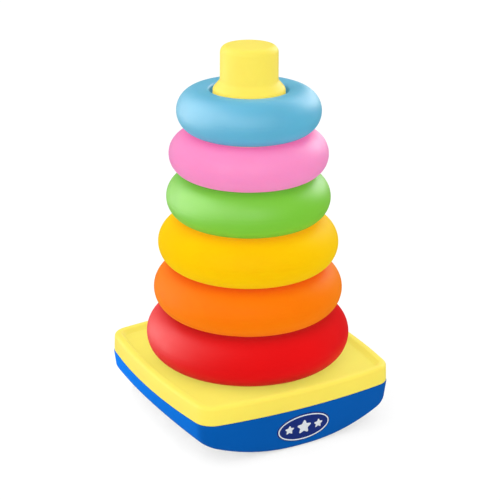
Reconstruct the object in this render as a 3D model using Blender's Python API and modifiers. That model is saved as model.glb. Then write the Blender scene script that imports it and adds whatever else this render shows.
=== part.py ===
"""A baby's ring stacker: six graded rings on a stepped post, over a square base that rocks.

Metres, +Z up. The origin is the middle of the narrow flat land under the rocker, the lowest place of
the object, on the post's axis. The badge side faces -Y, and the base rocks about lines parallel to Y.
"""

import math

import bmesh
import bpy
from mathutils import Matrix

MM = 0.001
FIT_GAP = 0.3 * MM  # air between two pieces that rest on each other
SHARP_ANGLE = math.radians(35)

# Plan of the base: four bowed sides joined by round corners.
BASE_HALF_WIDTH = 75 * MM
SIDE_RADIUS = 400 * MM
CORNER_RADIUS = 13 * MM
CORNER_STEPS = 5
SIDE_STEPS = 4
FILLET_STEPS = 3

# Heights of the base.
SEAM_Z = 28.8 * MM
RIM_Z = 41.1 * MM
DECK_Z = 38.1 * MM

# Rocker under the tray: a flat land, an arc each side of it, and a round end.
LAND_HALF_WIDTH = 5 * MM
ROCKER_RADIUS = 142 * MM
ROCKER_END_RADIUS = 3.2 * MM
ROCKER_ARC_STEPS = 12
ROCKER_END_STEPS = 4
WALL_CLEARANCE = 0.05 * MM  # the end wall stands this far inside the block that shapes the rocker
TRAY_DRAFT = math.radians(6.6)

# Walls.
WALL = 2.2 * MM
LID_SETBACK = 0.3 * MM  # the lid stands this far inside the tray's edge
LID_DRAFT = 0.5 * MM  # lean of the lid's side over its height
RIM_FILLET = 3 * MM
RIM_WIDTH = 4.4 * MM
RIM_SLOPE = 1.6 * MM  # run of the slope from the rim down to the deck
TONGUE_DEPTH = 2.5 * MM
TONGUE_WALL = 1.2 * MM
RIB_Y = 25 * MM
RIB_WALL = 1.6 * MM
RIB_TOP_Z = 18 * MM

# Rings from the bottom up: name, outer diameter, height, sRGB colour.
RINGS = (
    ("red", 134 * MM, 32.0 * MM, (236, 22, 24)),
    ("orange", 123.6 * MM, 30.8 * MM, (255, 118, 14)),
    ("amber", 117.2 * MM, 31.4 * MM, (254, 200, 22)),
    ("green", 105.8 * MM, 29.4 * MM, (140, 212, 86)),
    ("pink", 102 * MM, 27.2 * MM, (255, 142, 200)),
    ("sky", 91.8 * MM, 28.4 * MM, (116, 188, 220)),
)
RING_WIDTH_PER_HEIGHT = 0.735  # radial width of the ring's section over its height
RING_WALL = 2.0 * MM
RING_WELD_GAP = 0.3 * MM
RING_BORE_FILLET = 2.0 * MM
RING_STEPS = 32

# Post.
BORE_CLEARANCE = 1.7 * MM  # radial, from a ring's bore to the post's step inside it
STEP_DRAFT = 0.5 * MM  # lean of each step over half its height
KNOB_RADIUS = 18.4 * MM
POST_TOP_Z = 246.4 * MM
POST_TOP_FILLET = 4.5 * MM
POST_STEPS = 32
FLANGE_RADIUS = 53 * MM
FLANGE_THICKNESS = 2.4 * MM
POST_BOSS_HEIGHT = 6 * MM

# Screws: four hold the case, four hold the post.
SCREW_HEAD_RADIUS = 2.8 * MM
SCREW_HEAD_HEIGHT = 2.0 * MM
SCREW_SHANK_RADIUS = 1.5 * MM
SCREW_LENGTH = 9 * MM
SCREW_TIP = 1.2 * MM
SCREW_CROWN_RADIUS = 2.1 * MM  # the flat end of the domed head
SCREW_CROWN_HEIGHT = 0.8 * MM
RECESS_LENGTH = 3.4 * MM
RECESS_WIDTH = 0.9 * MM
RECESS_DEPTH = 1.1 * MM
CASE_SCREW_OFFSET = 53 * MM  # from the post's axis, in X and in Y
POST_SCREW_CIRCLE = 48.3 * MM
BOSS_RADIUS = 4.0 * MM
WELL_RADIUS = 5.2 * MM
WELL_BORE_RADIUS = 3.4 * MM
WELL_LEDGE = 2.4 * MM
SCREW_STEPS = 12

# Badge on the front wall.
BADGE_HALF_WIDTH = 19.5 * MM
BADGE_HALF_HEIGHT = 10 * MM
BADGE_THICKNESS = 1.0 * MM
BADGE_PROUD = 0.3 * MM
BADGE_Z = 15 * MM
BADGE_STEPS = 32

LEMON = (252, 233, 102)
ROYAL_BLUE = (2, 88, 176)
NAVY = (10, 38, 120)
STEEL = (170, 172, 176)


def clear_scene():
    for obj in list(bpy.data.objects):
        bpy.data.objects.remove(obj)


def new_collection(name):
    collection = bpy.data.collections.new(name)
    bpy.context.scene.collection.children.link(collection)
    return collection


def linear(srgb):
    """The sRGB colour, 0 to 255, as the linear values that a shader takes."""
    return [((c / 255 + 0.055) / 1.055) ** 2.4 if c > 10 else c / 255 / 12.92 for c in srgb]


def new_material(name, srgb, roughness=0.35, metallic=0.0):
    made = bpy.data.materials.new(name)
    made.use_nodes = True
    shader = made.node_tree.nodes["Principled BSDF"]
    shader.inputs["Base Color"].default_value = (*linear(srgb), 1)
    shader.inputs["Roughness"].default_value = roughness
    shader.inputs["Metallic"].default_value = metallic
    return made


def new_object(name, mesh, collection, material=None):
    obj = bpy.data.objects.new(name, mesh)
    collection.objects.link(obj)
    if material:
        mesh.materials.append(material)
    else:
        obj.hide_render = True
        obj.display_type = "WIRE"
    return obj


def mesh_of(bm, name):
    mesh = bpy.data.meshes.new(name)
    bmesh.ops.recalc_face_normals(bm, faces=bm.faces)
    bm.to_mesh(mesh)
    bm.free()
    return mesh


def boolean(obj, operation, other):
    modifier = obj.modifiers.new(f"{operation.lower()} {other.name}", "BOOLEAN")
    modifier.operation = operation
    modifier.object = other


def corner_centre():
    """Where a corner's circle sits, on the diagonal, so that it meets the bowed sides smoothly."""
    side_centre = BASE_HALF_WIDTH - SIDE_RADIUS
    reach = SIDE_RADIUS - CORNER_RADIUS
    return (side_centre + math.sqrt(2 * reach**2 - side_centre**2)) / 2


def outline(inset):
    """Points round the base's plan, moved inwards by inset. The arcs keep their centres."""
    centre = corner_centre()
    side_centre = BASE_HALF_WIDTH - SIDE_RADIUS
    half_side = math.atan2(centre, centre - side_centre)
    quarter = []
    for i in range(SIDE_STEPS):
        angle = -half_side + 2 * half_side * i / SIDE_STEPS
        radius = SIDE_RADIUS - inset
        quarter.append((side_centre + radius * math.cos(angle), radius * math.sin(angle)))
    for i in range(CORNER_STEPS):
        angle = half_side + (math.pi / 2 - 2 * half_side) * i / CORNER_STEPS
        radius = CORNER_RADIUS - inset
        quarter.append((centre + radius * math.cos(angle), centre + radius * math.sin(angle)))
    points = []
    for turn in range(4):
        c, s = ((1, 0), (0, 1), (-1, 0), (0, -1))[turn]
        points += [(x * c - y * s, x * s + y * c) for x, y in quarter]
    return points


def loft(name, levels, collection, material=None):
    """A closed solid through the base's plan at each (inset, z) level."""
    bm = bmesh.new()
    loops = [[bm.verts.new((x, y, z)) for x, y in outline(inset)] for inset, z in levels]
    for lower, upper in zip(loops, loops[1:]):
        for i, corner in enumerate(lower):
            bm.faces.new((lower[i - 1], corner, upper[i], upper[i - 1]))
    bm.faces.new(loops[0])
    bm.faces.new(loops[-1])
    return new_object(name, mesh_of(bm, name), collection, material)


def cylinder(name, radius, low_z, high_z, places, collection, segments=SCREW_STEPS):
    """Upright cylinders in one cutter, one at each (x, y) place."""
    bm = bmesh.new()
    for x, y in places:
        bmesh.ops.create_cone(
            bm,
            cap_ends=True,
            segments=segments,
            radius1=radius,
            radius2=radius,
            depth=high_z - low_z,
            matrix=Matrix.Translation((x, y, (low_z + high_z) / 2)),
        )
    return new_object(name, mesh_of(bm, name), collection)


def turned(name, profile, steps, collection, material, closed=False):
    """The (radius, z) profile, which runs down its outer side, turned about Z."""
    bm = bmesh.new()
    points = [bm.verts.new((radius, 0, z)) for radius, z in profile]
    pairs = list(zip(points, points[1:]))
    if closed:
        pairs.append((points[-1], points[0]))
    for pair in pairs:
        bm.edges.new(pair)
    mesh = bpy.data.meshes.new(name)
    bm.to_mesh(mesh)
    bm.free()
    obj = new_object(name, mesh, collection, material)
    screw = obj.modifiers.new("turn", "SCREW")
    screw.steps = steps
    screw.render_steps = steps
    screw.use_merge_vertices = True
    screw.merge_threshold = 0.01 * MM
    return obj


def frozen(obj):
    """The object's mesh with its modifiers applied."""
    bpy.context.view_layer.update()
    graph = bpy.context.evaluated_depsgraph_get()
    return bpy.data.meshes.new_from_object(obj.evaluated_get(graph))


def rocker_profile(depth):
    """(x, z) along the underside from its middle to its end wall, moved into the tray by depth."""
    arc_radius = ROCKER_RADIUS - depth
    round_radius = ROCKER_END_RADIUS - depth
    # The round end's circle touches the arc from inside, and the leaning end wall from behind.
    reach = ROCKER_RADIUS - ROCKER_END_RADIUS
    wall_x = BASE_HALF_WIDTH - math.tan(TRAY_DRAFT) * SEAM_Z + WALL_CLEARANCE
    side = LAND_HALF_WIDTH + ROCKER_END_RADIUS / math.cos(TRAY_DRAFT) - wall_x
    # reach*sin(meeting) + side = tan(draft) * (ROCKER_RADIUS - reach*cos(meeting))
    height = math.tan(TRAY_DRAFT) * ROCKER_RADIUS - side
    meeting = math.asin(height * math.cos(TRAY_DRAFT) / reach) - TRAY_DRAFT
    round_x = LAND_HALF_WIDTH + reach * math.sin(meeting)
    round_z = ROCKER_RADIUS - reach * math.cos(meeting)
    points = [(0, depth)]
    for i in range(ROCKER_ARC_STEPS + 1):
        angle = meeting * i / ROCKER_ARC_STEPS
        x = LAND_HALF_WIDTH + arc_radius * math.sin(angle)
        points.append((x, ROCKER_RADIUS - arc_radius * math.cos(angle)))
    for i in range(1, ROCKER_END_STEPS + 1):
        angle = meeting + (math.pi / 2 - TRAY_DRAFT - meeting) * i / ROCKER_END_STEPS
        points.append(
            (round_x + round_radius * math.sin(angle), round_z - round_radius * math.cos(angle))
        )
    return points


def rocker_block(name, depth, collection):
    """Everything above the rocker's underside moved into the tray by depth, as a long block."""
    right = rocker_profile(depth)
    above = 2 * SEAM_Z
    # The sides lean out with the tray's wall, and stay outside it.
    lean = math.tan(TRAY_DRAFT) * (above - right[-1][1])
    right.append((right[-1][0] + lean, above))
    left = [(-x, z) for x, z in reversed(right) if x > 0]
    bm = bmesh.new()
    reach = BASE_HALF_WIDTH + WALL
    corners = [bm.verts.new((x, -reach, z)) for x, z in left + right]
    face = bm.faces.new(corners)
    made = bmesh.ops.extrude_face_region(bm, geom=[face])["geom"]
    far = [item for item in made if isinstance(item, bmesh.types.BMVert)]
    bmesh.ops.translate(bm, verts=far, vec=(0, 2 * reach, 0))
    return new_object(name, mesh_of(bm, name), collection)


def case_screw_places():
    offset = CASE_SCREW_OFFSET
    return [(offset, offset), (-offset, offset), (-offset, -offset), (offset, -offset)]


def post_screw_places():
    reach = POST_SCREW_CIRCLE * math.sqrt(0.5)
    return [(reach, reach), (-reach, reach), (-reach, -reach), (reach, -reach)]


def badge_matrix(out):
    """A place on the front wall with local +Z along the wall's outward normal, moved out by out."""
    wall_y = -BASE_HALF_WIDTH + math.tan(TRAY_DRAFT) * (SEAM_Z - BADGE_Z)
    tilt = Matrix.Rotation(math.pi / 2 + TRAY_DRAFT, 4, "X")
    return Matrix.Translation((0, wall_y, BADGE_Z)) @ tilt @ Matrix.Translation((0, 0, out))


def badge_solid(name, grow, inner, outer, collection, material=None):
    """An oval plate from inner to outer along the wall's normal, grown by grow all round."""
    bm = bmesh.new()
    bmesh.ops.create_cone(
        bm, cap_ends=True, segments=BADGE_STEPS, radius1=1, radius2=1, depth=outer - inner
    )
    size = (BADGE_HALF_WIDTH + grow, BADGE_HALF_HEIGHT + grow, 1)
    bmesh.ops.scale(bm, verts=bm.verts, vec=size)
    obj = new_object(name, mesh_of(bm, name), collection, material)
    obj.matrix_world = badge_matrix((inner + outer) / 2)
    return obj


def make_tray(parts, cutters):
    """The lower casing: a drafted wall over the rocker's underside, with screw wells and ribs."""
    top_z = SEAM_Z - FIT_GAP / 2
    lean = math.tan(TRAY_DRAFT)
    below = -WALL

    def wall_levels(wall, high_z):
        return [(wall + lean * (SEAM_Z - below), below), (wall - lean * (high_z - SEAM_Z), high_z)]

    tray = loft(
        "rocker_tray",
        wall_levels(0, top_z),
        parts,
        new_material("tray plastic", ROYAL_BLUE),
    )
    cavity = loft("tray_cavity", wall_levels(WALL, SEAM_Z + WALL), cutters)
    wells = cylinder("tray_wells", WELL_RADIUS, below, RIM_Z, case_screw_places(), cutters)
    boolean(cavity, "INTERSECT", rocker_block("rocker_inside", WALL, cutters))
    boolean(cavity, "DIFFERENCE", wells)
    for number, y in ((1, -RIB_Y), (2, RIB_Y)):
        bm = bmesh.new()
        size = Matrix.Diagonal((3 * BASE_HALF_WIDTH, RIB_WALL, RIB_TOP_Z - below, 1))
        place = Matrix.Translation((0, y, (RIB_TOP_Z + below) / 2))
        bmesh.ops.create_cube(bm, size=1, matrix=place @ size)
        rib = new_object(f"rib_{number}", mesh_of(bm, "rib"), cutters)
        boolean(cavity, "DIFFERENCE", rib)
    boolean(tray, "INTERSECT", rocker_block("rocker_outside", 0, cutters))
    boolean(tray, "DIFFERENCE", cavity)
    ledge_z = top_z - WELL_LEDGE
    bores = cylinder("well_bores", WELL_BORE_RADIUS, below, ledge_z, case_screw_places(), cutters)
    boolean(tray, "DIFFERENCE", bores)
    hole_radius = SCREW_SHANK_RADIUS + FIT_GAP
    holes = cylinder("ledge_holes", hole_radius, 0, RIM_Z, case_screw_places(), cutters)
    boolean(tray, "DIFFERENCE", holes)
    pocket_floor = BADGE_PROUD - BADGE_THICKNESS - FIT_GAP
    pocket = badge_solid("badge_pocket", FIT_GAP, pocket_floor, 2 * WALL, cutters)
    boolean(tray, "DIFFERENCE", pocket)
    return tray


def make_lid(parts, cutters):
    """The upper casing: a rim round a sunken deck, a hole for the post, and screw bosses below."""
    low_z = SEAM_Z + FIT_GAP / 2
    tongue_inset = WALL + math.tan(TRAY_DRAFT) * TONGUE_DEPTH + FIT_GAP
    top_inset = LID_SETBACK + LID_DRAFT + RIM_FILLET
    rim_inset = top_inset - RIM_FILLET + RIM_WIDTH
    outer = [(tongue_inset, SEAM_Z - TONGUE_DEPTH), (tongue_inset, low_z), (LID_SETBACK, low_z)]
    for i in range(FILLET_STEPS + 1):
        angle = math.pi / 2 * i / FILLET_STEPS
        rise = RIM_FILLET * (math.sin(angle) - 1)
        outer.append((top_inset - RIM_FILLET * math.cos(angle), RIM_Z + rise))
    outer.append((rim_inset, RIM_Z))
    outer.append((rim_inset + RIM_SLOPE, DECK_Z))
    lid = loft("base_lid", outer, parts, new_material("lid plastic", LEMON))

    under_z = DECK_Z - WALL
    tongue_inside = tongue_inset + TONGUE_WALL
    wall_inside = LID_SETBACK + LID_DRAFT + WALL
    step = tongue_inside - wall_inside
    cavity = loft(
        "lid_cavity",
        [
            (tongue_inside, SEAM_Z - 2 * TONGUE_DEPTH),
            (tongue_inside, low_z),
            (wall_inside, low_z + step),
            (wall_inside, under_z),
        ],
        cutters,
    )
    low_bosses = cylinder("case_bosses", BOSS_RADIUS, low_z, RIM_Z, case_screw_places(), cutters)
    flange_top = under_z - POST_BOSS_HEIGHT
    high_bosses = cylinder(
        "post_bosses", BOSS_RADIUS, flange_top, RIM_Z, post_screw_places(), cutters
    )
    boolean(cavity, "DIFFERENCE", low_bosses)
    boolean(cavity, "DIFFERENCE", high_bosses)
    boolean(lid, "DIFFERENCE", cavity)
    hole_radius = step_radius(RINGS[0]) + STEP_DRAFT + 2 * FIT_GAP
    hole = cylinder("post_hole", hole_radius, 0, 2 * RIM_Z, [(0, 0)], cutters, POST_STEPS)
    boolean(lid, "DIFFERENCE", hole)
    pilots = cylinder(
        "pilot_holes",
        SCREW_SHANK_RADIUS + FIT_GAP,
        0,
        DECK_Z - WALL / 2,
        case_screw_places() + post_screw_places(),
        cutters,
    )
    boolean(lid, "DIFFERENCE", pilots)
    return lid


def bore_radius(ring):
    _, diameter, height, _ = ring
    return diameter / 2 - RING_WIDTH_PER_HEIGHT * height


def step_radius(ring):
    """The post's radius half way up its step inside the ring."""
    return bore_radius(ring) - BORE_CLEARANCE


def ring_bottoms():
    """The height of each ring's lowest point, in the order of RINGS."""
    bottoms, z = [], DECK_Z + FIT_GAP
    for _, _, height, _ in RINGS:
        bottoms.append(z)
        z += height + FIT_GAP
    return bottoms


def make_post(parts):
    """A hollow turned post: flange, one drafted step inside each ring, a shoulder and a knob."""
    under_z = DECK_Z - WALL
    flange_top = under_z - POST_BOSS_HEIGHT - FIT_GAP
    flange_bottom = flange_top - FLANGE_THICKNESS
    skirt = step_radius(RINGS[0]) + STEP_DRAFT
    outer = [(FLANGE_RADIUS, flange_bottom), (FLANGE_RADIUS, flange_top), (skirt, flange_top)]
    inner = [(skirt - WALL, flange_bottom)]
    steps = [step_radius(ring) for ring in RINGS] + [KNOB_RADIUS]
    bottoms = ring_bottoms()
    for i, (_, _, height, _) in enumerate(RINGS):
        top_of_ring = bottoms[i] + height
        low_radius, high_radius = steps[i] + STEP_DRAFT, steps[i] - STEP_DRAFT
        next_radius = steps[i + 1] + (STEP_DRAFT if i + 1 < len(RINGS) else 0)
        # A shoulder leans at 45 degrees. The last one starts at the top ring's crest.
        drop = high_radius - next_radius
        last = i + 1 == len(RINGS)
        shoulder_foot = top_of_ring if last else top_of_ring - drop
        if i == 0:
            outer.append((low_radius, DECK_Z))
        outer.append((high_radius, shoulder_foot))
        outer.append((next_radius, shoulder_foot + drop))
        inner.append((high_radius - WALL, shoulder_foot - WALL))
        if last:
            inner.append((next_radius - WALL, shoulder_foot + drop - WALL))
    inner.append((KNOB_RADIUS - WALL, POST_TOP_Z - WALL - POST_TOP_FILLET / 2))
    inner.append((KNOB_RADIUS - POST_TOP_FILLET, POST_TOP_Z - WALL))
    inner.append((0, POST_TOP_Z - WALL))
    for i in range(FILLET_STEPS + 1):
        angle = math.pi / 2 * i / FILLET_STEPS
        outer.append(
            (
                KNOB_RADIUS - POST_TOP_FILLET * (1 - math.cos(angle)),
                POST_TOP_Z - POST_TOP_FILLET * (1 - math.sin(angle)),
            )
        )
    outer.append((0, POST_TOP_Z))
    profile = list(reversed(outer)) + inner
    return turned("post", profile, POST_STEPS, parts, new_material("post plastic", LEMON))


def ring_section(ring, depth, arc_steps):
    """(radius, z) over the upper half of the ring's section, from its outer side over its crest
    to its bore, moved into the wall by depth. The section is round outside, and the bore cuts it."""
    _, diameter, height, _ = ring
    half_height = height / 2 - depth
    crest_radius = diameter / 2 - height / 2
    bore = bore_radius(ring) + depth
    edge_fillet = RING_BORE_FILLET - depth / 2
    points = []
    for i in range(arc_steps + 1):
        angle = math.pi / 2 * i / arc_steps
        points.append(
            (crest_radius + half_height * math.cos(angle), half_height * math.sin(angle))
        )
    inward = bore + edge_fillet - crest_radius
    points.append((bore + edge_fillet, math.sqrt(half_height**2 - inward**2)))
    edge_z = math.sqrt(half_height**2 - (bore - crest_radius) ** 2) - edge_fillet
    points.append((bore, edge_z))
    return points


def make_ring(ring, bottom_z, parts):
    """Two hollow half shells, welded at the middle, under one empty on the post's axis."""
    name, _, height, colour = ring
    centre = bpy.data.objects.new(f"ring_{name}", None)
    parts.objects.link(centre)
    centre.location = (0, 0, bottom_z + height / 2)
    plastic = new_material(f"{name} ring plastic", colour, roughness=0.3)
    outside = ring_section(ring, 0, 4)
    inside = ring_section(ring, RING_WALL, 2)
    half_gap = RING_WELD_GAP / 2
    outside[0] = (outside[0][0], half_gap)
    inside[0] = (inside[0][0], half_gap)
    outside.append((outside[-1][0], half_gap))
    inside.append((inside[-1][0], half_gap))
    # From the outer side's foot over the crest and back inside. Its reverse runs downwards.
    upper = outside + list(reversed(inside))
    lower = [(radius, -z) for radius, z in upper]
    for half, profile in (("upper", list(reversed(upper))), ("lower", lower)):
        shell = turned(f"ring_{name}_{half}", profile, RING_STEPS, parts, plastic, closed=True)
        shell.parent = centre


def make_screws(parts, cutters):
    """Pan-head screws that point up, with a cross recess in the head. All share one mesh."""
    profile = [
        (0, SCREW_LENGTH),
        (SCREW_SHANK_RADIUS, SCREW_LENGTH - SCREW_TIP),
        (SCREW_SHANK_RADIUS, 0),
        (SCREW_HEAD_RADIUS, 0),
        (SCREW_HEAD_RADIUS, SCREW_CROWN_HEIGHT - SCREW_HEAD_HEIGHT),
        (SCREW_CROWN_RADIUS, -SCREW_HEAD_HEIGHT),
        (0, -SCREW_HEAD_HEIGHT),
    ]
    steel = new_material("screw steel", STEEL, roughness=0.35, metallic=1.0)
    pattern = turned("screw_pattern", profile, SCREW_STEPS, cutters, steel)
    pattern.hide_render = True
    for number, turn in ((1, 0), (2, math.pi / 2)):
        bm = bmesh.new()
        size = Matrix.Diagonal((RECESS_WIDTH, RECESS_LENGTH, 2 * RECESS_DEPTH, 1))
        place = Matrix.Translation((0, 0, -SCREW_HEAD_HEIGHT)) @ Matrix.Rotation(turn, 4, "Z")
        bmesh.ops.create_cube(bm, size=1, matrix=place @ size)
        slot = new_object(f"recess_{number}", mesh_of(bm, "recess"), cutters)
        boolean(pattern, "DIFFERENCE", slot)
    mesh = frozen(pattern)
    case_seat = SEAM_Z - FIT_GAP / 2 - WELL_LEDGE - FIT_GAP
    flange_bottom = DECK_Z - WALL - POST_BOSS_HEIGHT - FIT_GAP - FLANGE_THICKNESS
    post_seat = flange_bottom - FIT_GAP
    sets = (
        ("case_screw", case_screw_places(), case_seat),
        ("post_screw", post_screw_places(), post_seat),
    )
    for name, places, seat_z in sets:
        for number, (x, y) in enumerate(places, 1):
            screw = bpy.data.objects.new(f"{name}_{number}", mesh)
            parts.objects.link(screw)
            screw.location = (x, y, seat_z)


def drill_flange(post, cutters):
    """Clearance holes for the post screws."""
    radius = SCREW_SHANK_RADIUS + FIT_GAP
    holes = cylinder("flange_holes", radius, SEAM_Z / 2, DECK_Z, post_screw_places(), cutters)
    boolean(post, "DIFFERENCE", holes)


def main():
    clear_scene()
    parts = new_collection("ring_stacker")
    cutters = new_collection("cutters")
    make_tray(parts, cutters)
    make_lid(parts, cutters)
    post = make_post(parts)
    drill_flange(post, cutters)
    badge_solid(
        "badge",
        0,
        BADGE_PROUD - BADGE_THICKNESS,
        BADGE_PROUD,
        parts,
        new_material("badge plastic", NAVY, roughness=0.3),
    )
    for ring, bottom_z in zip(RINGS, ring_bottoms()):
        make_ring(ring, bottom_z, parts)
    make_screws(parts, cutters)
    for obj in parts.objects:
        if obj.type == "MESH" and obj.data.polygons:
            obj.data.shade_smooth()
            obj.data.set_sharp_from_angle(angle=SHARP_ANGLE)


main()
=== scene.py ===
"""Looks of the ring stacker: fine meshes, moulded plastics, studio light and camera. Metres, +Z up.

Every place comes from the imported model's boxes. The sizes named here are the walls, fillets and
insets that a box can't tell. The badge side faces -Y, and the base rocks about lines parallel to Y.
"""

import math

import bmesh
import bpy
from mathutils import Matrix, Vector


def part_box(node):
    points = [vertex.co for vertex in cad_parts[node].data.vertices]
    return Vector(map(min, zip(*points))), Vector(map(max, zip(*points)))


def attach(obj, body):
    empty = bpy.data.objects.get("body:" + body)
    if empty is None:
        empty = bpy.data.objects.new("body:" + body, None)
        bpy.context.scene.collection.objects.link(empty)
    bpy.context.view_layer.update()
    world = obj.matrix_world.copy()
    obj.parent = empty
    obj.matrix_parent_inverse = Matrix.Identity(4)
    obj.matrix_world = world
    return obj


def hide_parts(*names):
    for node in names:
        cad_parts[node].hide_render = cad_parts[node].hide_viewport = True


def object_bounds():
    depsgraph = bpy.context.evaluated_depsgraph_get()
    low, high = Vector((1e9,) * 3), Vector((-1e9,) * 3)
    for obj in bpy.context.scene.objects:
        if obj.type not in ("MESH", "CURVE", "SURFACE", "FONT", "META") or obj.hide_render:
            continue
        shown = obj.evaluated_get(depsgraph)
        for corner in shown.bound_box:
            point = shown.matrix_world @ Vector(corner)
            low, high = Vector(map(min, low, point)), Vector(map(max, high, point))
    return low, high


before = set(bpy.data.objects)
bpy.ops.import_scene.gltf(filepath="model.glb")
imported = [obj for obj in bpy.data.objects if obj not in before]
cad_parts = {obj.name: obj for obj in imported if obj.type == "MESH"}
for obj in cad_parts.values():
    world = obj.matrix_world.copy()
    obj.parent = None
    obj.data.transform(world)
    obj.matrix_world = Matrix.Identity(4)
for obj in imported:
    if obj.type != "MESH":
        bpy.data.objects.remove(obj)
cad_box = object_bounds()

MM = 0.001
SHARP_ANGLE = math.radians(40)

# Plan of the base: four bowed sides joined by round corners.
SIDE_RADIUS = 400 * MM
CORNER_RADIUS = 13 * MM
CORNER_STEPS = 14
SIDE_STEPS = 24

FILLET_STEPS = 8  # of a fillet in a lid or post profile

# Rocker tray.
LAND_HALF_WIDTH = 5 * MM
ROCKER_RADIUS = 142 * MM
TRAY_DRAFT = math.radians(6.6)
TRAY_FOOT_FILLET = 3.4 * MM
TRAY_LIP_FILLET = 0.5 * MM
TRAY_WALL = 2.2 * MM
TRAY_LIP_STEPS = 4
TRAY_WALL_STEPS = 8
TRAY_FOOT_STEPS = 7
TRAY_FLOOR_STEPS = 20
TRAY_MEAN_SLOPE = math.atan(0.3)  # slope of the underside where its wall's thickness is true
WELL_OFFSET = 53 * MM
WELL_OUTER_RADIUS = 5.2 * MM
WELL_BORE_RADIUS = 3.4 * MM
WELL_LEDGE = 2.4 * MM
SHANK_HOLE_RADIUS = 1.8 * MM
WELL_SEGMENTS = 48
CUTTER_REACH = 5 * MM  # how far a cutter starts below the underside

# Lid.
LID_SETBACK = 0.3 * MM
LID_LEAN = 0.5 * MM
LID_WALL = 2.2 * MM
LID_SEAM_GAP = 0.3 * MM
LID_EDGE_WIDTH = 1.5 * MM  # width of the wall's flat lower edge
LID_EDGE_FILLET = 0.4 * MM
RIM_FILLET = 3.0 * MM
RIM_WIDTH = 4.6 * MM
DECK_DEPTH = 3.0 * MM
DECK_SLOPE = 2.2 * MM
DECK_FILLET = 1.1 * MM
DECK_MARGIN = 2.5 * MM  # width of the deck's edge that keeps the base's outline
DECK_STEPS = 10
POST_HOLE_GAP = 0.6 * MM
HOLE_EDGE_FILLET = 0.5 * MM
HOLE_EDGE_STEPS = 4
TONGUE_WALL = 1.2 * MM
TONGUE_GAP = 0.3 * MM

# Post.
BORE_CLEARANCE = 1.7 * MM
STEP_DRAFT = 0.5 * MM
STEP_FILLET = 1.6 * MM
KNOB_RADIUS = 18.4 * MM
SHOULDER_RISE = 5.2 * MM
SHOULDER_FILLET = 3.2 * MM
KNOB_DRAFT = 0.15 * MM
POST_TOP_FILLET = 4.5 * MM
POST_CAP_RADIUS = 0.3 * KNOB_RADIUS
POST_WALL = 2.2 * MM
FLANGE_THICKNESS = 2.4 * MM
FLANGE_FILLET = 0.6 * MM
SKIRT_FILLET = 0.8 * MM

# Rings.
RING_WIDTH_PER_HEIGHT = 0.735  # radial width of the section over its height
RING_BORE_FILLET = 2.2 * MM
RING_FULLNESS = 0.7  # how far the section's inner part is filled out to the crest's height
RING_SEAM_DEPTH = 0.05 * MM
RING_SEAM_HALF_WIDTH = 0.25 * MM
RING_ARC_STEPS = 44
RING_FILLET_STEPS = 8
RING_SEGMENTS = 144

# Badge: an oval plate with a raised border and three raised stars.
BADGE_PROUD = 0.3 * MM
BADGE_SINK = 0.7 * MM
BADGE_EDGE = 0.3 * MM
BORDER_INSET = 0.9 * MM
BORDER_WIDTH = 0.8 * MM
RELIEF = 0.2 * MM
RELIEF_EDGE = 0.08 * MM
RELIEF_ROOT = 0.1 * MM  # how deep in the plate the relief starts
BADGE_HALF_HEIGHT = 10 * MM
BADGE_EDGE_TURNS = (0, 0.5, 1.05, math.pi / 2)
BADGE_FACE_SHARES = (0.1, 0.4, 0.7, 0.9)
BADGE_SEGMENTS = 96
STAR_POINTS = 5
STAR_WAIST = 0.46  # inner radius of a star over its outer radius
STAR_SOFTNESS = 0.12  # fillet of a star's corners over its outer radius
STAR_CORNER_STEPS = 3
STAR_TAPER = 0.93  # size of a star's top over its foot
STARS = ((0, 6.2 * MM), (-10.6 * MM, 3.9 * MM), (10.6 * MM, 3.9 * MM))  # place along X, radius

# Plastics: sRGB colours, the rings' from the bottom up.
LEMON = (254, 229, 94)
BLUE = (0, 88, 172)
NAVY = (2, 38, 122)
WHITE = (244, 245, 247)
STEEL = (176, 178, 182)
RING_COLOURS = {
    "red": (230, 2, 6),
    "orange": (255, 125, 2),
    "amber": (254, 198, 2),
    "green": (124, 206, 36),
    "pink": (255, 142, 199),
    "sky": (84, 181, 215),
}
# How strongly a ring mirrors the studio, where 0.5 is plain plastic.
RING_LUSTRE = {
    "red": 0.1,
    "orange": 0.03,
    "amber": 0.02,
    "green": 0.5,
    "pink": 0.3,
    "sky": 0.6,
}
# The share of a ring's light on its neighbours that no shadow takes away: a painted glow that the
# ring gives off for diffuse rays only.
RING_FILL = {
    "red": 0.35,
    "orange": 0.35,
    "amber": 0.35,
    "green": 0.5,
    "pink": 0.5,
    "sky": 0.4,
}
# Painted crevice shade: how bright a ring's colour, made deeper in a crevice, stays there, where 1
# is not dimmed.
RING_CREVICE_SHADE_DIM = {
    "red": 0.8,
    "orange": 0.95,
    "amber": 0.95,
    "green": 1.0,
    "pink": 1.0,
    "sky": 1.0,
}
# depth sets how much deeper in colour a ring is painted in a crevice, as painted shade.
RING_LOOK = {"roughness": 0.55, "depth": 1.5}
LEMON_LOOK = {"roughness": 0.5, "glow": 0.3, "bounce": 0.78, "lustre": 0.07, "fill": 0.05}
CREVICE_REACH = 12 * MM

# Camera.
VIEW_AZIMUTH = math.radians(-29.41)
VIEW_ELEVATION = math.radians(20.98)
VIEW_ROLL = math.radians(0.35)
VIEW_DISTANCE = 950.2 * MM
VIEW_TARGET_Z = 110.3 * MM
VIEW_LENS = 104.85
VIEW_SENSOR = 36.0
VIEW_SHIFT = 0.00376

# Studio.
FLOOR_RADIUS = 12.0
FLOOR_DROP = 0.1 * MM  # keeps it just clear of the underside
FLOOR_SEEN = 0.6  # albedo for the camera, which sees the floor glow as well
FLOOR_BOUNCE = 0.85  # albedo for light that the floor sends back up
FLOOR_GLOW = 0.385
WORLD_STRENGTH = 1.06
WORLD_SLOPE = 0.16
WORLD_IN_GLOSS = 0.1
SHEEN_TARGET_Z = 120 * MM
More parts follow.
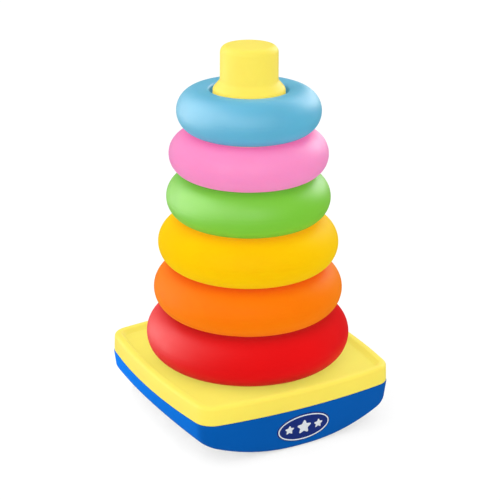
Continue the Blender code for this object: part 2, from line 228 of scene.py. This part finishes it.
# Panels that are only seen as sheens: place (aside, ahead and height), size, power and the rings
# that mirror them. The lid and the post mirror all but the last.
SHEENS = {
    "sheen_left": ((-1.4, -0.1, 0.6), (2.4, 2.6), 100, ("red", "orange", "green", "sky")),
    "sheen_front": (
        (-0.4, 2.4, 1.1),
        (4.0, 2.4),
        95,
        ("orange", "amber", "green", "pink", "sky"),
    ),
    "sheen_right": (
        (0.95, -1.2, 0.8),
        (1.1, 0.8),
        26,
        ("orange", "amber", "green", "pink", "sky"),
    ),
    "sheen_low": ((-1.4, -0.6, 0.45), (1.4, 1.6), 50, ("red",)),
}
SHEENS_ON_RINGS_ONLY = ("sheen_low",)
SIDE_PLACE = (-0.6, -0.25, 0.12)
SIDE_TARGET_Z = 15 * MM
SIDE_SIZE = (0.3, 0.2)
SIDE_POWER = 8


# ---------------------------------------------------------------- geometry


def rounded(corners, steps):
    """The polyline through (x, y, radius) corners, each inner corner turned into an arc."""
    points = [tuple(corners[0][:2])]
    for before, corner, after in zip(corners, corners[1:], corners[2:]):
        here = Vector(corner[:2])
        back = Vector(before[:2]) - here
        ahead = Vector(after[:2]) - here
        angle = back.angle(ahead)
        radius = corner[2]
        if radius == 0 or abs(angle - math.pi) < math.radians(1):
            points.append(tuple(here))
            continue
        cut = radius / math.tan(angle / 2)
        cut = min(cut, 0.49 * back.length, 0.49 * ahead.length)
        radius = cut * math.tan(angle / 2)
        middle = (back.normalized() + ahead.normalized()).normalized()
        centre = here + middle * (radius / math.sin(angle / 2))
        start = here + back.normalized() * cut - centre
        sweep = math.pi - angle
        if start.x * middle.y - start.y * middle.x > 0:
            # The arc turns from start through the corner side, away from middle.
            sweep = -sweep
        for i in range(steps + 1):
            turn = sweep * i / steps
            c, s = math.cos(turn), math.sin(turn)
            x, y = start.x * c - start.y * s, start.x * s + start.y * c
            points.append((centre.x + x, centre.y + y))
    points.append(tuple(corners[-1][:2]))
    return points


def loft(name, sections, material, wrap=False):
    """A closed mesh through equally long loops of points. Its ends are caps, or meet if wrap."""
    bm = bmesh.new()
    loops = [[bm.verts.new(point) for point in section] for section in sections]
    pairs = list(zip(loops, loops[1:]))
    if wrap:
        pairs.append((loops[-1], loops[0]))
    for lower, upper in pairs:
        for i in range(len(lower)):
            bm.faces.new((lower[i - 1], lower[i], upper[i], upper[i - 1]))
    if not wrap:
        for end in (loops[0], loops[-1]):
            middle = bm.verts.new(sum((v.co for v in end), Vector()) / len(end))
            for i in range(len(end)):
                bm.faces.new((end[i - 1], end[i], middle))
    return piece(name, bm, material)


def piece(name, bm, material):
    """The bmesh as a smooth-shaded object."""
    bmesh.ops.recalc_face_normals(bm, faces=bm.faces)
    mesh = bpy.data.meshes.new(name)
    bm.to_mesh(mesh)
    bm.free()
    mesh.shade_smooth()
    mesh.set_sharp_from_angle(angle=SHARP_ANGLE)
    if material:
        mesh.materials.append(material)
    obj = bpy.data.objects.new(name, mesh)
    bpy.context.scene.collection.objects.link(obj)
    return obj


def circle(radius, z, segments):
    angles = [2 * math.pi * i / segments for i in range(segments)]
    return [(radius * math.cos(a), radius * math.sin(a), z) for a in angles]


def turned(name, profile, segments, material, wrap=False):
    """The (radius, z) profile turned about Z."""
    return loft(name, [circle(radius, z, segments) for radius, z in profile], material, wrap)


def plan(inset, half_width):
    """(x, y) points round the base, moved inwards by inset. The arcs keep their centres."""
    side_centre = half_width - SIDE_RADIUS
    reach = SIDE_RADIUS - CORNER_RADIUS
    corner = (side_centre + math.sqrt(2 * reach**2 - side_centre**2)) / 2
    half_side = math.atan2(corner, corner - side_centre)
    quarter = []
    for i in range(SIDE_STEPS):
        angle = half_side * (2 * i / SIDE_STEPS - 1)
        radius = SIDE_RADIUS - inset
        quarter.append((side_centre + radius * math.cos(angle), radius * math.sin(angle)))
    for i in range(CORNER_STEPS):
        angle = half_side + (math.pi / 2 - 2 * half_side) * i / CORNER_STEPS
        radius = CORNER_RADIUS - inset
        quarter.append((corner + radius * math.cos(angle), corner + radius * math.sin(angle)))
    points = []
    for c, s in ((1, 0), (0, 1), (-1, 0), (0, -1)):
        points += [(x * c - y * s, x * s + y * c) for x, y in quarter]
    return points


def plan_loop(inset, z, half_width):
    return [(x, y, z) for x, y in plan(inset, half_width)]


def toward(loop, target, share):
    """The loop moved towards the target loop by a share of the way."""
    return [tuple(Vector(a).lerp(Vector(b), share)) for a, b in zip(loop, target)]


def boolean(obj, operation, cutter):
    """Applies the cut at once, and removes the cutter."""
    modifier = obj.modifiers.new("cut", "BOOLEAN")
    modifier.operation = operation
    modifier.object = cutter
    graph = bpy.context.evaluated_depsgraph_get()
    mesh = bpy.data.meshes.new_from_object(obj.evaluated_get(graph))
    obj.modifiers.remove(modifier)
    mesh.name = obj.data.name
    obj.data = mesh
    mesh.shade_smooth()
    mesh.set_sharp_from_angle(angle=SHARP_ANGLE)
    bpy.data.objects.remove(cutter)


# ---------------------------------------------------------------- materials


def linear(srgb):
    """The sRGB colour, 0 to 255, as the linear values that a shader takes."""
    return [((c / 255 + 0.055) / 1.055) ** 2.4 if c > 10 else c / 255 / 12.92 for c in srgb]


def grey(value):
    return (value, value, value, 1)


def shade(srgb, factor):
    """The colour made lighter or darker, as a socket's value."""
    return (*[min(1.0, c * factor) for c in linear(srgb)], 1)


class Graph:
    """A short hand for building a material's nodes."""

    def __init__(self, material):
        self.nodes = material.node_tree.nodes
        self.links = material.node_tree.links

    def add(self, kind, **settings):
        node = self.nodes.new(kind)
        for key, value in settings.items():
            setattr(node, key, value)
        return node

    def set(self, node, **values):
        for key, value in values.items():
            node.inputs[key.replace("_", " ")].default_value = value
        return node

    def link(self, source, target):
        self.links.new(source, target)

    def noise(self, where, scale, detail=2.0, roughness=0.5):
        node = self.add("ShaderNodeTexNoise")
        self.set(node, Scale=scale, Detail=detail, Roughness=roughness)
        self.link(where, node.inputs["Vector"])
        return node.outputs["Fac"]

    def ramp(self, source, low, high, out_low, out_high):
        node = self.set(
            self.add("ShaderNodeMapRange"),
            From_Min=low,
            From_Max=high,
            To_Min=out_low,
            To_Max=out_high,
        )
        self.link(source, node.inputs["Value"])
        return node.outputs["Result"]

    def mix(self, factor, a, b):
        node = self.add("ShaderNodeMix", data_type="RGBA")
        for socket, value in ((node.inputs[0], factor), (node.inputs[6], a), (node.inputs[7], b)):
            if isinstance(value, bpy.types.NodeSocket):
                self.link(value, socket)
            else:
                socket.default_value = value
        return node.outputs[2]


def new_material(name):
    made = bpy.data.materials.new(name)
    made.use_nodes = True
    return made, Graph(made), made.node_tree.nodes["Principled BSDF"]


def painted_crevice_shade(graph, pigment, srgb, depth, dim):
    """Painted shade: the pigment made deeper and dimmer in a crevice, where light bounces about."""
    closeness = graph.set(
        graph.add("ShaderNodeAmbientOcclusion", samples=6), Distance=CREVICE_REACH
    )
    openness = graph.ramp(closeness.outputs["AO"], 0.1, 0.9, 0, 1)
    crevice_shade_colour = [dim * c**depth for c in linear(srgb)] + [1]
    return graph.mix(openness, crevice_shade_colour, pigment)


def plastic(
    name,
    srgb,
    roughness=0.42,
    glow=0.5,
    bounce=0.93,
    lustre=0.5,
    fill=0.1,
    depth=1.0,
    dim=1.0,
):
    """Moulded plastic: cloudy pigment, a fine moulded grain, handling marks and paler worn edges.

    glow is the share of light that scatters inside, and lustre the strength of its reflections.
    Its neighbours see it as a grey of the bounce value, which keeps its colour off them, and fill
    is the share that it gives off for them as a painted glow, which no shadow takes away. depth
    and dim paint shade into a crevice, where the colour is made deeper and dimmer.
    """
    made, graph, shader = new_material(name)
    where = graph.add("ShaderNodeTexCoord").outputs["Object"]
    # Pigment clouds about 40 mm across, and a finer mottle.
    clouds = graph.ramp(graph.noise(where, 24, detail=3), 0.3, 0.7, 0, 1)
    pigment = graph.mix(clouds, shade(srgb, 0.965), shade(srgb, 1.03))
    mottle = graph.ramp(graph.noise(where, 420), 0.35, 0.65, 0, 0.05)
    pigment = graph.mix(mottle, pigment, shade(srgb, 0.86))
    # Worn edges: the mesh's convex folds are a little paler.
    edges = graph.add("ShaderNodeNewGeometry").outputs["Pointiness"]
    patches = graph.ramp(graph.noise(where, 95, detail=4), 0.42, 0.66, 0, 1)
    worn = graph.add("ShaderNodeMath", operation="MULTIPLY")
    graph.link(patches, worn.inputs[0])
    graph.link(graph.ramp(edges, 0.53, 0.62, 0, 0.3), worn.inputs[1])
    pale = [c * 0.75 + 0.25 for c in linear(srgb)] + [1]
    pigment = graph.mix(worn.outputs[0], pigment, pale)
    # Painted shade: a crevice is painted deeper in colour and dimmer.
    if depth != 1 or dim != 1:
        pigment = painted_crevice_shade(graph, pigment, srgb, depth, dim)
    # Painted glow: neighbours see the plastic as grey, and it glows for them with the fill share.
    for_neighbours = graph.add("ShaderNodeLightPath").outputs["Is Diffuse Ray"]
    pigment = graph.mix(for_neighbours, pigment, grey(bounce - fill))
    graph.link(pigment, shader.inputs["Base Color"])
    graph.set(shader, Emission_Color=grey(1))
    graph.link(graph.ramp(for_neighbours, 0, 1, 0, fill), shader.inputs["Emission Strength"])
    # Sheen varies where hands have polished the surface.
    marks = graph.noise(where, 55, detail=5, roughness=0.6)
    gloss = graph.ramp(marks, 0.3, 0.7, roughness - 0.05, roughness + 0.06)
    graph.link(gloss, shader.inputs["Roughness"])
    # The mould's grain, about half a millimetre, over long shallow waves.
    height = graph.add("ShaderNodeMath", operation="MULTIPLY_ADD")
    graph.link(graph.noise(where, 40, detail=1), height.inputs[0])
    height.inputs[1].default_value = 4.0
    graph.link(graph.noise(where, 1900), height.inputs[2])
    bump = graph.set(graph.add("ShaderNodeBump"), Strength=0.04, Distance=0.1 * MM)
    graph.link(height.outputs[0], bump.inputs["Height"])
    graph.link(bump.outputs["Normal"], shader.inputs["Normal"])
    graph.set(shader, IOR=1.5, Specular_IOR_Level=lustre)
    graph.set(
        shader, Subsurface_Weight=glow, Subsurface_Scale=4 * MM, Subsurface_Radius=(1.0, 0.7, 0.5)
    )
    return made


def steel(name):
    """Zinc-plated steel, cloudy and with a fine grain."""
    made, graph, shader = new_material(name)
    where = graph.add("ShaderNodeTexCoord").outputs["Object"]
    cloud = graph.noise(where, 300, detail=4)
    tint = graph.mix(graph.ramp(cloud, 0.3, 0.7, 0, 1), shade(STEEL, 0.8), shade(STEEL, 1.1))
    graph.link(tint, shader.inputs["Base Color"])
    graph.link(graph.ramp(cloud, 0.3, 0.7, 0.28, 0.45), shader.inputs["Roughness"])
    grain = graph.noise(where, 4000, detail=3)
    bump = graph.set(graph.add("ShaderNodeBump"), Strength=0.1, Distance=0.05 * MM)
    graph.link(grain, bump.inputs["Height"])
    graph.link(bump.outputs["Normal"], shader.inputs["Normal"])
    graph.set(shader, Metallic=1.0)
    return made


def placed(obj, body, slot, *nodes):
    """The piece rides on the body and stands for the nodes. slot is not used."""
    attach(obj, body)
    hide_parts(*nodes)
    return obj


# ---------------------------------------------------------------- the base


def rocker_z(x):
    """Height of the underside at x."""
    run = max(0.0, abs(x) - LAND_HALF_WIDTH)
    return ROCKER_RADIUS - math.sqrt(ROCKER_RADIUS**2 - run**2)


def tray_point(outer, inward, depth, seam_z, fillet):
    """A point of the tray's underside. outer and inward are the wall's foot and its inward normal,
    and depth is the distance in from the foot."""
    rise = fillet - math.sqrt(fillet**2 - max(0.0, fillet - depth) ** 2)
    x, y = outer
    # The wall leans in as it goes down, so the foot's inset depends on its own height.
    z = rocker_z(x) + rise
    for _ in range(4):
        inset = math.tan(TRAY_DRAFT) * (seam_z - z) + depth
        px, py = x + inward[0] * inset, y + inward[1] * inset
        z = rocker_z(px) + rise
    return (px, py, z)


def tray_shell(half_width, seam_z, shrink, fillet, lip):
    """Loops from the lip down the wall, round the foot and in to the middle of the underside."""
    outer = plan(shrink, half_width)
    inner = plan(shrink + MM, half_width)
    normals = [((b[0] - a[0]) / MM, (b[1] - a[1]) / MM) for a, b in zip(outer, inner)]

    def underside(depth):
        return [tray_point(p, n, depth, seam_z, fillet) for p, n in zip(outer, normals)]

    lip_loops = []
    for i in range(TRAY_LIP_STEPS + 1):
        angle = math.pi / 2 * i / TRAY_LIP_STEPS
        inset, z = lip * (1 - math.sin(angle)), seam_z - lip * (1 - math.cos(angle))
        lip_loops.append(
            [(p[0] + n[0] * inset, p[1] + n[1] * inset, z) for p, n in zip(outer, normals)]
        )
    foot = underside(0)
    loops = [toward(lip_loops[-1], foot, i / TRAY_WALL_STEPS) for i in range(1, TRAY_WALL_STEPS)]
    for i in range(TRAY_FOOT_STEPS + 1):
        loops.append(underside(fillet * (1 - math.cos(math.pi / 2 * i / TRAY_FOOT_STEPS))))
    edge = loops[-1]
    for i in range(1, TRAY_FLOOR_STEPS):
        share = 1 - i / TRAY_FLOOR_STEPS
        loops.append([(x * share, y * share, rocker_z(x * share)) for x, y, _ in edge])
    # The inside lies a wall's thickness above the outside, but never above the seam.
    rise = shrink / math.cos(TRAY_MEAN_SLOPE)
    return lip_loops + [[(x, y, min(z + rise, seam_z)) for x, y, z in loop] for loop in loops]


def make_tray(material):
    _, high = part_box("rocker_tray")
    half_width, seam_z = high.y, high.z
    outside = tray_shell(half_width, seam_z, 0, TRAY_FOOT_FILLET, TRAY_LIP_FILLET)
    inside = tray_shell(
        half_width, seam_z, TRAY_WALL, TRAY_FOOT_FILLET / 2, TRAY_LIP_FILLET / 2
    )
    tray = loft("tray_shell", list(reversed(outside)) + inside, material)
    floor_z = rocker_z(WELL_OFFSET)
    wells = (
        ("UNION", WELL_OUTER_RADIUS, floor_z + TRAY_WALL / 2, seam_z - MM / 10),
        ("DIFFERENCE", WELL_BORE_RADIUS, floor_z - CUTTER_REACH, seam_z - WELL_LEDGE),
        ("DIFFERENCE", SHANK_HOLE_RADIUS, floor_z - CUTTER_REACH, seam_z + MM),
    )
    for x in (-WELL_OFFSET, WELL_OFFSET):
        for y in (-WELL_OFFSET, WELL_OFFSET):
            for operation, radius, low_z, high_z in wells:
                ends = [circle(radius, z, WELL_SEGMENTS) for z in (low_z, high_z)]
                cutter = loft("cutter", ends, None)
                cutter.data.transform(Matrix.Translation((x, y, 0)))
                boolean(tray, operation, cutter)
    return placed(tray, "base", "blue_plastic", "rocker_tray")


def make_lid(material):
    low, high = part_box("base_lid")
    tray_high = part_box("rocker_tray")[1]
    half_width = tray_high.y
    tongue_z, rim_z = low.z, high.z
    low_z = tray_high.z + LID_SEAM_GAP
    deck_z = rim_z - DECK_DEPTH
    under_z = deck_z - LID_WALL
    bottom, top = LID_SETBACK, LID_SETBACK + LID_LEAN
    deck_inset = top + RIM_WIDTH + DECK_SLOPE
    outer = rounded(
        [
            (bottom + LID_EDGE_WIDTH, low_z, 0),
            (bottom, low_z, LID_EDGE_FILLET),
            (top, rim_z, RIM_FILLET),
            (top + RIM_WIDTH, rim_z, DECK_FILLET),
            (deck_inset, deck_z, DECK_FILLET),
            (deck_inset + DECK_MARGIN, deck_z, 0),
        ],
        FILLET_STEPS,
    )
    loops = [plan_loop(inset, z, half_width) for inset, z in outer]
    # The deck runs in from the plan's outline to the round hole for the post.
    hole_radius = step_radius(0) + STEP_DRAFT + POST_HOLE_GAP
    edge = loops[-1]
    angles = [math.atan2(y, x) for x, y, _ in edge]

    def hole(radius, z):
        return [(radius * math.cos(a), radius * math.sin(a), z) for a in angles]

    rim_of_hole = hole(hole_radius + HOLE_EDGE_FILLET, deck_z)
    loops += [toward(edge, rim_of_hole, i / DECK_STEPS) for i in range(1, DECK_STEPS + 1)]
    for i in range(1, HOLE_EDGE_STEPS + 1):
        angle = math.pi / 2 * i / HOLE_EDGE_STEPS
        inset, drop = 1 - math.sin(angle), 1 - math.cos(angle)
        loops.append(
            hole(hole_radius + HOLE_EDGE_FILLET * inset, deck_z - HOLE_EDGE_FILLET * drop)
        )
    hole_foot = hole(hole_radius, under_z)
    loops.append(hole_foot)
    # Back out under the deck, down inside the wall and round the tongue that sits in the tray.
    wall_inside = top + LID_WALL
    inner_edge = plan_loop(wall_inside, under_z, half_width)
    loops += [toward(hole_foot, inner_edge, i / DECK_STEPS) for i in range(1, DECK_STEPS + 1)]
    tongue_outside = TRAY_WALL + math.tan(TRAY_DRAFT) * (low_z - tongue_z) + TONGUE_GAP
    tongue_inside = tongue_outside + TONGUE_WALL
    for inset, z in (
        (wall_inside, low_z + tongue_inside - wall_inside),
        (tongue_inside, low_z),
        (tongue_inside, tongue_z),
        (tongue_outside, tongue_z),
        (tongue_outside, low_z),
    ):
        loops.append(plan_loop(inset, z, half_width))
    lid = loft("lid_shell", loops, material, wrap=True)
    return placed(lid, "base", "lemon_plastic", "base_lid")


# ---------------------------------------------------------------- the rings and the post


def ring_size(name):
    """Outer radius, bottom and top of a ring, from its two half shells' boxes."""
    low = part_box(f"ring_{name}_lower")
    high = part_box(f"ring_{name}_upper")
    return high[1].x, low[0].z, high[1].z


def bore_radius(index):
    radius, bottom, top = ring_size(list(RING_COLOURS)[index])
    return radius - RING_WIDTH_PER_HEIGHT * (top - bottom)


def step_radius(index):
    return bore_radius(index) - BORE_CLEARANCE


def ring_section(radius, half_height, bore):
    """(radius, z) round the section: a circle cut by the bore, with filleted edges and a fine
    parting line round the outside."""
    crest = radius - half_height
    fillet = RING_BORE_FILLET
    run = bore + fillet - crest
    centre_z = math.sqrt((half_height - fillet) ** 2 - run**2)
    meeting = math.atan2(centre_z, run)

    def fuller(r):
        """How much taller the section is at r than the plain circle."""
        level = math.sqrt(half_height**2 - min(0, r - crest) ** 2)
        return 1 + RING_FULLNESS * (half_height / level - 1)

    arc = []
    for i in range(RING_ARC_STEPS + 1):
        angle = meeting * i / RING_ARC_STEPS
        arc.append((crest + half_height * math.cos(angle), half_height * math.sin(angle)))
    for i in range(1, RING_FILLET_STEPS + 1):
        angle = meeting + (math.pi - meeting) * i / RING_FILLET_STEPS
        arc.append((bore + fillet + fillet * math.cos(angle), centre_z + fillet * math.sin(angle)))
    seam = [
        (radius - RING_SEAM_DEPTH, 0),
        (radius - 0.6 * RING_SEAM_DEPTH, RING_SEAM_HALF_WIDTH / 2),
        (radius - 0.1 * RING_SEAM_DEPTH, RING_SEAM_HALF_WIDTH),
    ]
    upper = seam + [p for p in arc if p[1] > 1.5 * RING_SEAM_HALF_WIDTH]
    upper = [(r, z * fuller(r)) for r, z in upper]
    lower = [(r, -z) for r, z in reversed(upper[1:])]
    return upper + lower


def make_ring(index, name, material):
    radius, bottom, top = ring_size(name)
    middle = (top + bottom) / 2
    section = ring_section(radius, (top - bottom) / 2, bore_radius(index))
    profile = [(r, middle + z) for r, z in section]
    ring = turned(f"ring_{name}", profile, RING_SEGMENTS, material, wrap=True)
    halves = (f"ring_{name}_lower", f"ring_{name}_upper")
    return placed(ring, f"ring_{name}", f"{name}_plastic", *halves)


def make_post(material):
    low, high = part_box("post")
    deck_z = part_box("base_lid")[1].z - DECK_DEPTH
    flange_bottom, flange_top = low.z, low.z + FLANGE_THICKNESS
    steps = [step_radius(i) for i in range(len(RING_COLOURS))]
    skirt = steps[0] + STEP_DRAFT
    flange = [
        (high.x, flange_bottom, 0),
        (high.x, flange_top, FLANGE_FILLET),
        (skirt, flange_top, SKIRT_FILLET),
        (skirt, deck_z, 0),
    ]
    shaft = []
    for i, name in enumerate(RING_COLOURS):
        ring_top = ring_size(name)[2]
        wide = steps[i] - STEP_DRAFT
        if i + 1 < len(steps):
            # The step's shoulder leans at 45 degrees.
            narrow = steps[i + 1] + STEP_DRAFT
            shaft.append((wide, ring_top - (wide - narrow), STEP_FILLET))
            shaft.append((narrow, ring_top, STEP_FILLET))
        else:
            shaft.append((wide, ring_top, SHOULDER_FILLET))
            shaft.append((KNOB_RADIUS, ring_top + SHOULDER_RISE, SHOULDER_FILLET))
    shaft.append((KNOB_RADIUS - KNOB_DRAFT, high.z, POST_TOP_FILLET))
    outside = rounded(flange + shaft + [(POST_CAP_RADIUS, high.z, 0)], FILLET_STEPS)
    inside = [(skirt - POST_WALL, flange_bottom)]
    inside += [(r - POST_WALL, z - POST_WALL) for r, z, _ in shaft]
    inside.append((POST_CAP_RADIUS, high.z - POST_WALL))
    post = turned("post_shell", list(reversed(outside)) + inside, RING_SEGMENTS, material)
    return placed(post, "base", "lemon_plastic", "post")


# ---------------------------------------------------------------- the badge


def badge_place(u, v, w, middle_z, seam_z, half_width):
    """A point on the bowed front wall: u along X, v up the wall and w out of it."""
    c, s = math.cos(TRAY_DRAFT), math.sin(TRAY_DRAFT)
    z = middle_z + v * c
    wall_y = -(half_width - math.tan(TRAY_DRAFT) * (seam_z - z)) + u**2 / (2 * SIDE_RADIUS)
    return (u + w * u / SIDE_RADIUS, wall_y - w * c, z - w * s)


def oval(half_u, inset):
    angles = [2 * math.pi * i / BADGE_SEGMENTS for i in range(BADGE_SEGMENTS)]
    half_v = BADGE_HALF_HEIGHT
    return [((half_u - inset) * math.cos(a), (half_v - inset) * math.sin(a)) for a in angles]


def star(centre_u, radius):
    """The outline of a plain star with softened points."""
    corners = []
    for i in range(2 * STAR_POINTS):
        angle = math.pi / 2 + math.pi * i / STAR_POINTS
        reach = radius if i % 2 == 0 else STAR_WAIST * radius
        corners.append((reach * math.cos(angle), reach * math.sin(angle), STAR_SOFTNESS * radius))
    closed = [corners[-1]] + corners + [corners[0]]
    return [(centre_u + x, y) for x, y in rounded(closed, STAR_CORNER_STEPS)[1:-1]]


def make_badge(plate_material, relief_material):
    low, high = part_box("badge")
    tray_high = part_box("rocker_tray")[1]
    middle_z = (low.z + high.z) / 2 - 0.5 * (BADGE_PROUD - BADGE_SINK) * math.sin(TRAY_DRAFT)
    half_u = high.x

    def lay(levels):
        return [
            [badge_place(u, v, w, middle_z, tray_high.z, tray_high.y) for u, v in outline]
            for outline, w in levels
        ]

    levels = [(oval(half_u, 0), -BADGE_SINK)]
    for angle in BADGE_EDGE_TURNS:
        inset, drop = BADGE_EDGE * (1 - math.cos(angle)), BADGE_EDGE * (1 - math.sin(angle))
        levels.append((oval(half_u, inset), BADGE_PROUD - drop))
    levels += [(oval(half_u, BADGE_HALF_HEIGHT * s), BADGE_PROUD) for s in BADGE_FACE_SHARES]
    plate = loft("badge_plate", lay(levels), plate_material)

    root = BADGE_PROUD - RELIEF_ROOT
    top = BADGE_PROUD + RELIEF
    inner_inset = BORDER_INSET + BORDER_WIDTH
    border = [
        (oval(half_u, BORDER_INSET), root),
        (oval(half_u, BORDER_INSET), top - RELIEF_EDGE),
        (oval(half_u, BORDER_INSET + RELIEF_EDGE), top),
        (oval(half_u, inner_inset - RELIEF_EDGE), top),
        (oval(half_u, inner_inset), top - RELIEF_EDGE),
        (oval(half_u, inner_inset), root),
    ]
    reliefs = [loft("badge_border", lay(border), relief_material, wrap=True)]
    for number, (centre_u, radius) in enumerate(STARS, 1):
        foot = star(centre_u, radius)
        face = [(centre_u + STAR_TAPER * (u - centre_u), STAR_TAPER * v) for u, v in foot]
        levels = [(foot, root), (foot, top - RELIEF_EDGE), (face, top)]
        reliefs.append(loft(f"badge_star_{number}", lay(levels), relief_material))
    placed(plate, "base", "navy_plastic", "badge")
    for obj in reliefs:
        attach(obj, "base")


# ---------------------------------------------------------------- studio


def camera_axes():
    """The camera's right, up and back before it rolls."""
    back = Vector(
        (
            math.sin(VIEW_AZIMUTH) * math.cos(VIEW_ELEVATION),
            -math.cos(VIEW_AZIMUTH) * math.cos(VIEW_ELEVATION),
            math.sin(VIEW_ELEVATION),
        )
    )
    right = Vector((math.cos(VIEW_AZIMUTH), math.sin(VIEW_AZIMUTH), 0))
    return right, back.cross(right), back


def make_camera():
    right, up, back = camera_axes()
    c, s = math.cos(VIEW_ROLL), math.sin(VIEW_ROLL)
    data = bpy.data.cameras.new("camera")
    data.sensor_width = VIEW_SENSOR
    data.lens = VIEW_LENS
    data.shift_x = VIEW_SHIFT
    camera = bpy.data.objects.new("camera", data)
    bpy.context.scene.collection.objects.link(camera)
    axes = Matrix((right * c + up * s, up * c - right * s, back)).transposed().to_4x4()
    axes.translation = back * VIEW_DISTANCE + Vector((0, 0, VIEW_TARGET_Z))
    camera.matrix_world = axes
    bpy.context.scene.camera = camera


def make_floor():
    """A pale floor that glows for the camera, so that only soft shadows show on it. From below it
    is clear, so that the underside can be seen."""
    made, graph, shader = new_material("pale floor")
    where = graph.add("ShaderNodeTexCoord").outputs["Object"]
    cloud = graph.ramp(graph.noise(where, 6), 0.3, 0.7, 0, 1)
    tone = graph.mix(cloud, grey(FLOOR_SEEN), grey(1.03 * FLOOR_SEEN))
    seen = graph.add("ShaderNodeLightPath").outputs["Is Camera Ray"]
    graph.link(graph.mix(seen, grey(FLOOR_BOUNCE), tone), shader.inputs["Base Color"])
    graph.set(shader, Roughness=0.9, Specular_IOR_Level=0.1, Emission_Color=grey(1))
    graph.link(graph.ramp(seen, 0, 1, 0, FLOOR_GLOW), shader.inputs["Emission Strength"])
    from_below = graph.add("ShaderNodeMixShader")
    graph.link(graph.add("ShaderNodeNewGeometry").outputs["Backfacing"], from_below.inputs[0])
    graph.link(shader.outputs[0], from_below.inputs[1])
    graph.link(graph.add("ShaderNodeBsdfTransparent").outputs[0], from_below.inputs[2])
    graph.link(from_below.outputs[0], graph.nodes["Material Output"].inputs["Surface"])
    bm = bmesh.new()
    bmesh.ops.create_circle(bm, cap_ends=True, segments=64, radius=FLOOR_RADIUS)
    floor = piece("floor", bm, made)
    floor.location.z = cad_box[0].z - FLOOR_DROP
    floor.visible_glossy = False
    floor.visible_shadow = False


def make_world():
    """A pale dome, brighter on the left of the camera. Shiny surfaces see it much dimmer."""
    world = bpy.data.worlds.new("studio")
    world.use_nodes = True
    bpy.context.scene.world = world
    # Shadow rays would be taken for diffuse ones, so the dome is found by the surfaces' own rays.
    world.cycles.sampling_method = "NONE"
    graph = Graph(world)
    right, _, back = camera_axes()
    brightest = (back * 0.25 - right + Vector((0, 0, 0.7))).normalized()
    along = graph.add("ShaderNodeVectorMath", operation="DOT_PRODUCT")
    graph.link(graph.add("ShaderNodeTexCoord").outputs["Generated"], along.inputs[0])
    along.inputs[1].default_value = brightest
    low, high = WORLD_STRENGTH * (1 - WORLD_SLOPE), WORLD_STRENGTH * (1 + WORLD_SLOPE)
    dome = graph.set(graph.nodes["Background"], Color=grey(1))
    graph.link(graph.ramp(along.outputs["Value"], -1, 1, low, high), dome.inputs["Strength"])
    path = graph.add("ShaderNodeLightPath")
    shown = dome.outputs[0]
    for ray, strength in (("Is Glossy Ray", WORLD_IN_GLOSS), ("Is Camera Ray", 1.0)):
        other = graph.add("ShaderNodeBackground")
        graph.set(other, Color=grey(1), Strength=strength)
        mixed = graph.add("ShaderNodeMixShader")
        graph.link(path.outputs[ray], mixed.inputs[0])
        graph.link(shown, mixed.inputs[1])
        graph.link(other.outputs[0], mixed.inputs[2])
        shown = mixed.outputs[0]
    graph.link(shown, graph.nodes["World Output"].inputs["Surface"])


def area_light(name, place, target_z, size, power, lit):
    """A panel aimed at the axis that lights only the lit pieces. place is aside to the camera's
    right, ahead towards the camera, and height."""
    right, _, back = camera_axes()
    level = Vector((back.x, back.y, 0)).normalized()
    where = right * place[0] + level * place[1] + Vector((0, 0, place[2]))
    data = bpy.data.lights.new(name, "AREA")
    data.shape = "RECTANGLE"
    data.size, data.size_y = size
    data.energy = power
    light = bpy.data.objects.new(name, data)
    bpy.context.scene.collection.objects.link(light)
    light.location = where
    light.rotation_mode = "QUATERNION"
    light.rotation_quaternion = (Vector((0, 0, target_z)) - where).to_track_quat("-Z", "Y")
    light.visible_camera = False
    group = bpy.data.collections.new(f"lit by {name}")
    for obj in lit:
        group.objects.link(obj)
    light.light_linking.receiver_collection = group
    return light


def make_lights(tray, lid, post, rings):
    for name, (place, size, power, ring_names) in SHEENS.items():
        lit = [rings[ring_name] for ring_name in ring_names]
        if name not in SHEENS_ON_RINGS_ONLY:
            lit += [lid, post]
        sheen = area_light(name, place, SHEEN_TARGET_Z, size, power, lit)
        sheen.visible_diffuse = False
    side = area_light("side", SIDE_PLACE, SIDE_TARGET_Z, SIDE_SIZE, SIDE_POWER, [tray])
    side.visible_glossy = False


# ---------------------------------------------------------------- assembly


tray = make_tray(plastic("blue plastic", BLUE, glow=0.05, lustre=0.03))
lemon = plastic("lemon plastic", LEMON, **LEMON_LOOK)
lid = make_lid(lemon)
post = make_post(lemon)
make_badge(
    plastic("navy plastic", NAVY, roughness=0.3, glow=0.03),
    plastic("white print", WHITE, roughness=0.4),
)
rings = {}
for number, (ring_name, colour) in enumerate(RING_COLOURS.items()):
    ring_plastic = plastic(
        f"{ring_name} plastic",
        colour,
        lustre=RING_LUSTRE[ring_name],
        fill=RING_FILL[ring_name],
        dim=RING_CREVICE_SHADE_DIM[ring_name],
        **RING_LOOK,
    )
    rings[ring_name] = make_ring(number, ring_name, ring_plastic)
screw_steel = steel("zinc-plated steel")
for node_name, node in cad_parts.items():
    if "screw" in node_name:
        node.data.materials.clear()
        node.data.materials.append(screw_steel)
make_floor()
make_world()
make_lights(tray, lid, post, rings)
make_camera()
bpy.context.scene.view_settings.view_transform = "Standard"
